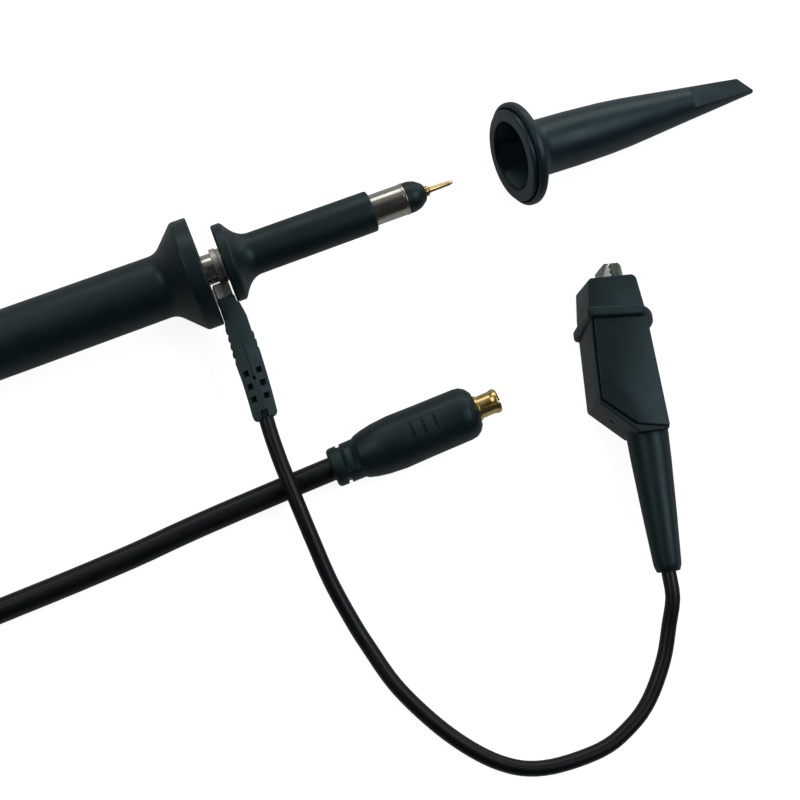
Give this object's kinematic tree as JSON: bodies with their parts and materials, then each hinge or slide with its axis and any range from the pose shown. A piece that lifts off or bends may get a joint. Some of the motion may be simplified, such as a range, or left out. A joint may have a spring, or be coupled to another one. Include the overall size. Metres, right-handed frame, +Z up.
{
  "type": "oscilloscope probe",
  "caption": "Slim passive oscilloscope probe with needle tip, finger guard, ground lead with crocodile clip, sprung hook tip beside it, and coiled coax with push-on miniature coaxial plug.",
  "frame": {"origin": "centre of the base of the probe, its ground terminal and boot, and the hook tip, on the table they lie on", "axes": "+X along the probe towards its needle and on to the hook tip's nose, +Z up from the table"},
  "size_m": [0.2242, 0.1049, 0.0172],
  "materials": {
    "black_plastic": "satin black with a cool cast",
    "black_rubber": "soft moulded black",
    "cable_jacket": "smooth extruded black jacket",
    "nickel": "satin nickel plate on brass",
    "gold": "gold plate on brass",
    "spring_steel": "plain spring wire",
    "white_insulator": "milky white insulator",
    "ceramic": "lacquered ceramic"
  },
  "bodies": {
    "root": {"handle_shell": "black_plastic", "rear_strain_relief": "black_rubber", "coax_ferrule": "nickel", "coax_handle_end": "cable_jacket", "shield_barrel": "nickel", "tip_insulator": "black_plastic", "probe_needle": "gold", "input_socket": "gold", "divider_resistor": "ceramic", "divider_capacitor": "white_insulator", "core_insulator": "white_insulator", "tip_sleeve": "black_plastic", "ground_cable": "cable_jacket", "clip_boot": "black_plastic", "clip_fixed_jaw": "nickel", "clip_pivot_pin": "nickel", "clip_spring": "spring_steel", "plug_body": "black_plastic", "plug_ferrule": "nickel", "plug_outer_contact": "gold", "plug_dielectric": "white_insulator", "plug_centre_pin": "gold", "coax_plug_end": "cable_jacket", "coax_lead": "cable_jacket", "coax_coil": "cable_jacket", "coax_tail": "cable_jacket", "cable_tie": "black_plastic"},
    "ground_clip": {"ground_terminal": "nickel", "ground_boot": "black_rubber", "ground_wire_end": "cable_jacket"},
    "clip_jaw": {"clip_moving_jaw": "nickel"},
    "hook_tip": {"hook_core": "white_insulator", "hook_contact": "gold", "hook_wire": "gold", "hook_spring": "spring_steel"},
    "hook_grip": {"hook_sleeve": "black_plastic"}
  },
  "joints": [
    {"name": "ground_swivel", "type": "hinge", "parent": "root", "child": "ground_clip", "pos_m": [0.00253, 0.00718, 0.00873], "axis": [-0.9986, 0, -0.0523], "range_deg": [0, 30]},
    {"name": "clip_jaw_hinge", "type": "hinge", "parent": "root", "child": "clip_jaw", "pos_m": [0.05625, -0.02574, 0.00563], "axis": [-0.0106, -0.0423, 0.999], "range_deg": [0, 10], "stiffness_Nm_per_rad": 0.02, "springref_deg": -28.65, "deforming": ["clip_spring"]},
    {"name": "hook_tip_lift", "type": "slide", "parent": "root", "child": "hook_tip", "axis": [0, 0, 1], "range_m": [0, 0.06]},
    {"name": "hook_sleeve_slide", "type": "slide", "parent": "hook_tip", "child": "hook_grip", "axis": [-0.9879, -0.0166, 0.1542], "range_m": [0, 0.005], "stiffness_N_per_m": 150, "springref_m": -0.003, "deforming": ["hook_spring"]}
  ]
}
